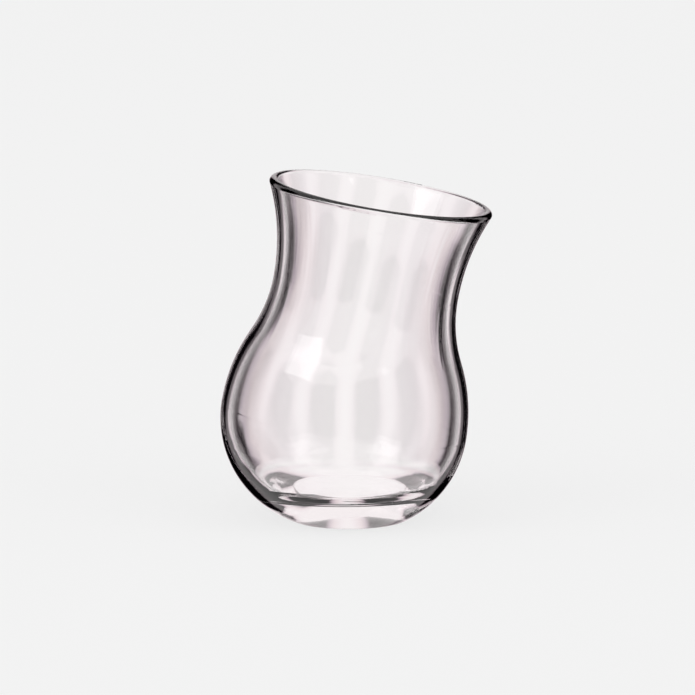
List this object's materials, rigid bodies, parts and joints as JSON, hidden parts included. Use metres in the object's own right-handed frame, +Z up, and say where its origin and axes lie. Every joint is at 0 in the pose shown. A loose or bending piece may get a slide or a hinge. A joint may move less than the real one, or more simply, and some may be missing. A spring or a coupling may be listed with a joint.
{
  "type": "leaning turkish tea glass",
  "caption": "Clear one-piece tulip tea glass: round bowl, narrow waist and flared mouth on a leaning axis, with a heavy bottom cut level so that it stands on a flat foot.",
  "frame": {"origin": "middle of the flat ground foot that the glass stands on", "axes": "+Z up; +X is the side that the body leans towards, where the mouth is lowest; the XZ plane is the plane of symmetry"},
  "size_m": [0.0678, 0.062, 0.0866],
  "materials": {
    "clear_glass": "clear fire-polished soda-lime glass with a faint rose cast"
  },
  "bodies": {
    "root": {"glass": "clear_glass"}
  },
  "joints": []
}
